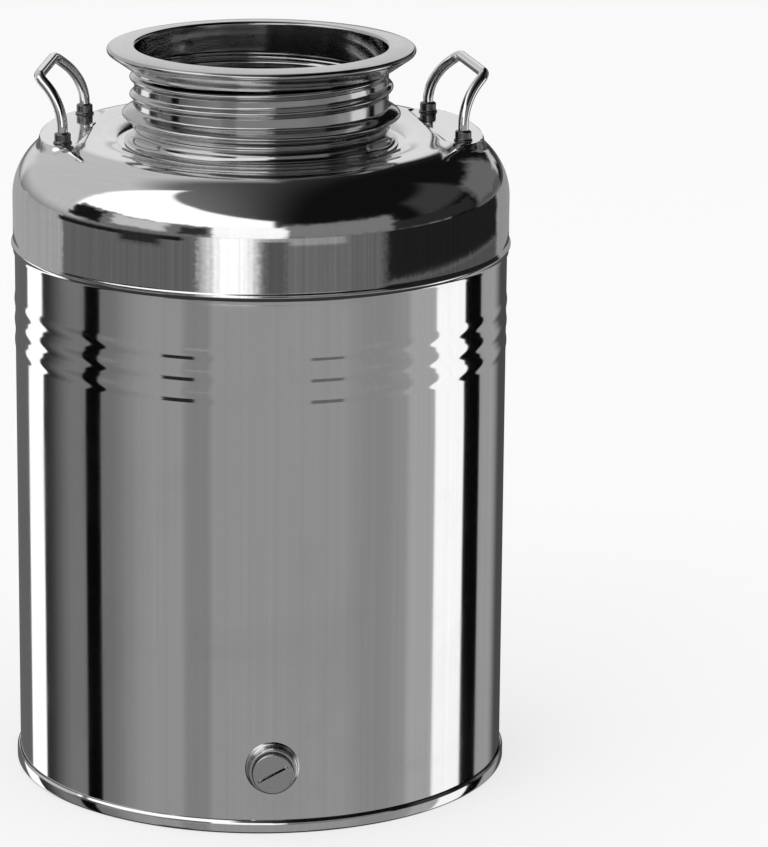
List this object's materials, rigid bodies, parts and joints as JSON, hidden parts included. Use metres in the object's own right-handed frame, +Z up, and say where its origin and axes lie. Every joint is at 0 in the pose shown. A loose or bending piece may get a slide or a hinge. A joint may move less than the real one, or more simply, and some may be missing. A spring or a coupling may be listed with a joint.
{
  "type": "oil container",
  "caption": "Round stainless steel oil can with domed shoulder, screw neck with rolled lip, rod handles and a low threaded outlet closed by a slotted screw plug.",
  "frame": {"origin": "the middle of the container's box in plan, on the floor that the base rim stands on; the can's axis stands 5.15 mm behind it, towards +Y, because the outlet plug reaches past the rim", "axes": "+Z up along the can's axis; the outlet faces -Y; the handles stand at -X (left) and +X (right), each turned 9 degrees towards the back"},
  "size_m": [0.3194, 0.3296, 0.472],
  "materials": {
    "sheet_steel": "mirror-polished stainless sheet",
    "neck_steel": "polished stainless sheet with rolling lines",
    "rod_steel": "polished rod",
    "ferrule_steel": "dulled by welding",
    "turned_steel": "satin turned",
    "black_rubber": "matt"
  },
  "bodies": {
    "can": {"barrel": "sheet_steel", "base_pan": "sheet_steel", "shoulder": "sheet_steel", "neck": "neck_steel", "handle_left": "rod_steel", "handle_right": "rod_steel", "ferrule_left_front": "ferrule_steel", "ferrule_left_rear": "ferrule_steel", "ferrule_right_front": "ferrule_steel", "ferrule_right_rear": "ferrule_steel", "outlet_socket": "turned_steel"},
    "seal": {"plug_gasket": "black_rubber"},
    "plug": {"outlet_plug": "turned_steel"}
  },
  "joints": [
    {"name": "plug_travel", "type": "slide", "parent": "can", "child": "seal", "axis": [0, -1, 0], "range_m": [0, 0.0109]},
    {"name": "plug_turn", "type": "hinge", "parent": "seal", "child": "plug", "pos_m": [0, -0.15235, 0.043], "axis": [0, -1, 0], "range_deg": [0, 2160]}
  ],
  "couplings": [
    {"joint": "plug_travel", "follows": "plug_turn", "m_per_rad": 0.00028871}
  ]
}
